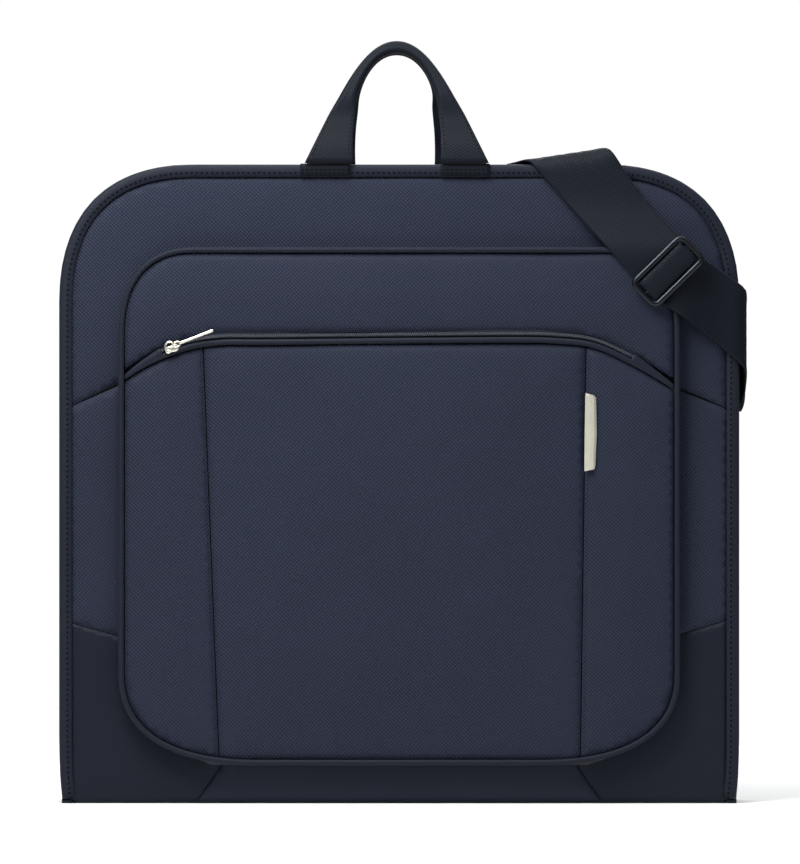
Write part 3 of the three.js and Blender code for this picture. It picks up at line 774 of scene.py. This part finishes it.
# ---- shoulder strap ----
def wrapped_strap(name, profile, line, outward, place, look, body, replaces, sag=None):
    """Webbing laid over a profile: its middle line is drawn on the unrolled surface."""
    curve = spline(profile, 400)
    at = arc_length(curve)
    way = frames(curve)
    along = resample(line, 4.0)
    heading = frames(along)
    half = STRAP_WIDTH / 2
    top = [(-half, 0.0), (-half + 0.6, 0.9), (-half + 2.2, 1.15), (-20, 0.9), (-12, 0.85), (-4, 0.85),
           (4, 0.85), (12, 0.85), (20, 0.9), (half - 2.2, 1.15), (half - 0.6, 0.9), (half, 0.0)]
    section = top + [(a, -b * 0.8) for a, b in top[1:-1]][::-1]
    run = arc_length(along)
    rings, uv = [], []
    for p, t, s in zip(along, heading, run):
        ring = []
        for a, b in section:
            u, v = p[0] - t[1] * a, p[1] + t[0] * a
            reach, rest = (v, u) if place == "over" else (u, v)
            reach = float(np.clip(reach, 0, at[-1]))
            q = np.array([np.interp(reach, at, curve[:, k]) for k in (0, 1)])
            d = np.array([np.interp(reach, at, way[:, k]) for k in (0, 1)])
            h = b * STRAP_THICKNESS / 2 * outward
            m, n = q[0] - d[1] * h, q[1] + d[0] * h
            if place == "over":
                point = [rest, m, n + (sag(reach, a) if sag else 0)]
            else:
                point = [m, n, rest]
            ring.append(point)
            uv.append((a * MM, s * MM))
        rings.append(ring)
    if outward > 0:
        rings = [ring[::-1] for ring in rings]
        size = len(section)
        uv = [uv[i * size + size - 1 - k] for i in range(len(rings)) for k in range(size)]
    vertices, faces = skin(rings, False)
    return piece(name, vertices, faces, look, body, replaces, uv=uv)


OVER_TOP = [(-47.1, 395), (-47.1, 425), (-47.1, 447), (-42, 463), (-36, 485), (-34, 506), (-33.7, 515),
            (-31.8, 519.1), (-26, 519.9), (-17, 518.2), (-9, 516.6), (-4.6, 512), (-4.8, 495), (-4.8, 420),
            (-4.8, 330), (-4.8, 264)]
ROUND_SIDE = [(205, -47.1), (228, -47), (243, -40.5), (258, -36), (271, -34.8), (278.6, -32.6), (280.6, -26),
              (280, -12), (277.6, -6.2), (273, -4), (264, -4.2), (250, -4.2)]


def strap():
    def arched(reach, a):
        return STRAP_ARCH * (0.5 - a / STRAP_WIDTH) * math.exp(-(((reach - 134) / 24) ** 2))

    upper = wrapped_strap("strap_over_top", OVER_TOP, [(212.5, 40.7), (-50, 344.5)], 1, "over", "webbing",
                          "front_half", ["strap_upper"], arched)
    side_line = bezier((20, 425), (20 + 58 * 0.667, 425 - 34 * 0.667), (122 - 44 * 0.667, 341 + 50 * 0.667),
                       (122, 341), 30)
    lower = wrapped_strap("strap_round_side", ROUND_SIDE, side_line, -1, "round", "webbing", "front_half",
                          ["strap_lower"])
    turn = math.radians(8)
    c, s = math.cos(turn), math.sin(turn)
    t = np.linspace(-103, 103, 50)[:, None]
    middle = np.array((-140, -2.4, 288)) + t * np.array((c, 0, -s))
    across = np.tile((s, 0, c), (len(middle), 1))
    normal = np.tile((0, -1, 0), (len(middle), 1))
    tail = ribbon("strap_between_halves", middle, across, normal, "webbing", "front_half",
                  ["strap_tucked_end"])


def rotated(x, z, turn, a, b):
    return x + a * math.cos(turn) - b * math.sin(turn), z + a * math.sin(turn) + b * math.cos(turn)


def adjuster():
    """A tri-glide of round bar with a webbing loop on its middle bar."""
    x, z = ADJUSTER
    w, h, r = 27.2, 13.0, 4.4
    corner = [(w - r, h - r, 0), (-w + r, h - r, 90), (-w + r, -h + r, 180), (w - r, -h + r, 270)]
    outline = []
    for cx, cz, start in corner:
        for t in [math.radians(start + k * 18) for k in range(6)]:
            outline.append((cx + r * math.cos(t), cz + r * math.sin(t)))
    ring = [rotated(x, z, ADJUSTER_TURN, a, b) for a, b in outline]
    loop = resample([(p, -51.6, q) for p, q in ring], 2.2, closed=True)
    tube("adjuster_frame", loop, 2.4, "gunmetal", "adjuster", ["strap_adjuster"], sides=12, closed=True,
         flatten=0.8)
    ends = [rotated(x, z, ADJUSTER_TURN, a, 0) for a in (-w, -w / 2, 0, w / 2, w)]
    tube("adjuster_middle_bar", [(p, -51.6, q) for p, q in ends], 1.3, "gunmetal", "adjuster", sides=8)
    rings, uv = [], []
    for a in np.linspace(-23.0, 23.0, 14):
        ring = []
        for s in np.linspace(0, 2 * math.pi, 32, endpoint=False):
            c, d = math.cos(s), math.sin(s)
            b = 9.6 * math.copysign(abs(c) ** 0.55, c)
            y = -51.7 + 2.9 * math.copysign(abs(d) ** 0.8, d)
            p, q = rotated(x, z, ADJUSTER_TURN, a, b)
            ring.append((p, y, q))
            uv.append((a * MM, b * MM))
        rings.append(ring)
    vertices, faces = skin(rings, False)
    piece("adjuster_webbing", vertices, faces, "webbing", "adjuster", ["adjuster_loop"], uv=uv)


def rings_and_tabs():
    """The two strap rings between the halves, each with its folded webbing tab."""
    for label, x, z in (("left", -256, 306), ("right", 242, 341)):
        outline = [(x - 3, z - 27), (x + 3, z - 27), (x + 3, z + 27), (x - 3, z + 27)]
        loop = resample([(a, -2.0, b) for a, b in outline], 3, closed=True)
        tube(f"ring_bar_{label}", loop, 1.3, "gunmetal", "front_half", [f"strap_ring_{label}"], closed=True)
        low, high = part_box(f"ring_tab_{label}")
        middle = np.array([(low.x / MM + 0.4 + k * 3.0, -5.0, (low.z + high.z) / 2 / MM) for k in range(10)])
        across = np.tile((0, 0, 1), (10, 1))
        normal = np.tile((0, 1, 0), (10, 1))
        ribbon(f"ring_tab_webbing_{label}", middle, across, normal, "webbing", "front_half",
               [f"ring_tab_{label}"], width=44)


def loop_behind_edge():
    """The strap's sewn end where it passes round its ring, just proud of the right edge."""
    rings, uv = [], []
    for z in np.linspace(317, 363, 16):
        squeeze = 1 - ((z - 340) / 24.5) ** 4 * 0.75
        ring = []
        for s in np.linspace(0, 2 * math.pi, 20, endpoint=False):
            ring.append((275.6 + 5.9 * squeeze * math.cos(s), -0.6 + 2.9 * squeeze * math.sin(s), z))
            uv.append((z * MM, s * MM * 3))
        rings.append(ring)
    vertices, faces = skin(rings, False)
    piece("strap_end_loop", vertices, faces, "webbing", "front_half", uv=uv)


# ---- rear half, hanger and fold ----
def rear():
    """The back panel, and the hanger with its hook inside the rear half."""
    arch = half_outline(BINDING + 0.2)

    def back(x, z, d):
        return PANEL_OUT - 0.8 + 1.4 * (1 - math.exp(-d / 7)) + 2.2 * (1 - math.exp(-d / 60)) \
            + 0.8 * ripple(x, z, 80, 7.0)

    panel("back_panel", arch, back, "twill", "rear_half", ["rear_panel"], side=1, step=8.0)
    looks = {"garment_strap": "webbing", "garment_strap_buckle": "coil", "hanger_plate": "gunmetal",
             "hanger_rivet": "gunmetal"}
    for name, look in looks.items():
        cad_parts[name].data.materials[0] = LOOKS[look]
    bend = [(0, -5.5), (0, -30), (6, -42), (20, -52), (26, -68), (18, -86), (0, -93), (-18, -86), (-25, -70)]
    wire = [(a, 2.3, HOOK_EYE + b) for a, b in spline(bend, 70)]
    tube("hook_wire", wire, 1.6, "silver", "hanger", ["hanger_hook"], sides=12)
    angles = np.linspace(0, 2 * math.pi, 28)[:-1]
    eye = [(5.1 * math.cos(t), 2.3, HOOK_EYE + 5.1 * math.sin(t)) for t in angles]
    tube("hook_eye", eye, 1.6, "silver", "hanger", sides=10, closed=True)
    tip = [(bend[-1][0] + a, 2.3, HOOK_EYE + bend[-1][1] + b) for a, b in ((0, 0), (-0.2, 1.4), (-0.3, 2.4))]
    tube("hook_tip", tip, 2.3, "coil", "hanger", sides=12)


def fold():
    """The fold across the bottom: a padded panel with rolled edges, bound at both ends."""
    body = "fold_spine"
    section = [(-27.6, 3.0), (-28.4, 2.9), (-28.9, 2.3), (-29.0, 1.4), (-28.6, 0.4), (-27.4, 0.0),
               (-20, 0.2), (0, 0.3), (20, 0.2), (27.4, 0.0), (28.6, 0.4), (29.0, 1.4), (28.9, 2.3),
               (28.4, 2.9), (27.6, 3.0), (0, 2.8)]
    rings = [[(x, y, z) for y, z in section] for x in np.linspace(-263, 263, 60)]
    vertices, faces = skin(rings, False)
    piece("fold_base", vertices, faces, "smooth_fabric", body, ["fold_panel"])
    for side, label in ((-1, "left"), (1, "right")):
        end = [(-29.0, 3.2), (-29.6, 1.8), (-28.6, 0.5), (-26.0, 0.0), (-22, 0.1), (0, 0.2), (22, 0.1),
               (26, 0.0), (28.6, 0.5), (29.6, 1.8), (29.0, 3.2), (27.0, 3.6), (0, 3.5), (-27.0, 3.6)]
        rings = [[(side * x, y, z) for y, z in end] for x in np.linspace(264.6, 273.0, 5)]
        if side < 0:
            rings = [ring[::-1] for ring in rings]
        vertices, faces = skin(rings, False)
        piece(f"fold_end_binding_{label}", vertices, faces, "trim", body, [f"fold_binding_{label}"])
    for label, side in (("front", -1), ("rear", 1)):
        xs = np.linspace(-252, 252, 50)
        share = np.linspace(0, 1, 10)
        line = [(side * (7.5 - 6.9 * s), 7.0 + 9.0 * s + 1.2 * math.sin(s * math.pi)) for s in share]
        rings = [[(x, y, z) for y, z in line] + [(x, y + side * 0.8, z) for y, z in line[::-1]] for x in xs]
        vertices, faces = skin(rings, False)
        lining = piece(f"fold_inner_{label}", vertices, faces, "lining", None,
                       ["fold_lining"] if side < 0 else [])
        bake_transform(lining)


# ---- camera, light and floor ----
def studio():
    """A straight front camera, four soft lights and a white floor on a white background.

    The camera sees the world as plain white; everything else is lit by a dimmer room.
    """
    scene = bpy.context.scene
    camera = bpy.data.objects.new("camera", bpy.data.cameras.new("camera"))
    scene.collection.objects.link(camera)
    lens, sensor, tall, nearest = 300.0, 36.0, 0.6978, -0.04
    camera.data.lens, camera.data.sensor_width = lens, sensor
    camera.location = (0.00065, nearest - lens / sensor * tall, 0.3004)
    camera.rotation_euler = (math.pi / 2, 0, 0)
    scene.camera = camera
    world = bpy.data.worlds.new("studio")
    world.use_nodes = True
    nodes, links = world.node_tree.nodes, world.node_tree.links
    room = nodes["Background"]
    room.inputs["Color"].default_value = (0.95, 0.98, 1, 1)
    room.inputs["Strength"].default_value = 0.2
    seen = nodes.new("ShaderNodeBackground")
    seen.inputs["Strength"].default_value = 1.02
    seen.inputs["Color"].default_value = (1, 1, 1, 1)
    mix = nodes.new("ShaderNodeMixShader")
    links.new(nodes.new("ShaderNodeLightPath").outputs["Is Camera Ray"], mix.inputs[0])
    links.new(room.outputs[0], mix.inputs[1])
    links.new(seen.outputs[0], mix.inputs[2])
    links.new(mix.outputs[0], nodes["World Output"].inputs["Surface"])
    scene.world = world
    scene.view_settings.view_transform = "Standard"
    lights = (("key", (-0.32, -0.58, 1.16), 0.6, 18), ("fill", (2.2, -2.4, 1.1), 2.0, 2.5),
              ("back", (0.2, 1.5, 1.6), 1.8, 30), ("over", (0.3, -0.2, 2.2), 2.6, 31))
    for name, place, size, power in lights:
        light = bpy.data.objects.new(name, bpy.data.lights.new(name, "AREA"))
        light.data.size, light.data.energy = size, power
        light.location = place
        aim = Vector((0, 0, 0.3)) - light.location
        light.rotation_euler = aim.to_track_quat("-Z", "Y").to_euler()
        scene.collection.objects.link(light)
    radius = 1.1
    rim = [(radius * math.cos(t), radius * math.sin(t), 0) for t in np.linspace(0, 2 * math.pi, 73)[:-1]]
    mesh = bpy.data.meshes.new("floor")
    mesh.from_pydata(rim, [], [tuple(range(len(rim)))])
    floor = bpy.data.objects.new("floor", mesh)
    material = shader("floor_white", (0.93, 0.93, 0.93), 0.9)[0]
    mesh.materials.append(material)
    scene.collection.objects.link(floor)


studio()
shell("front", -1, "front_half")
shell("rear", 1, "rear_half")
front_panels()
pocket()
pocket_zip()
label_plate()
zips_hardware()
handle("front", -1)
handle("rear", 1)
strap()
adjuster()
rings_and_tabs()
loop_behind_edge()
rear()
fold()
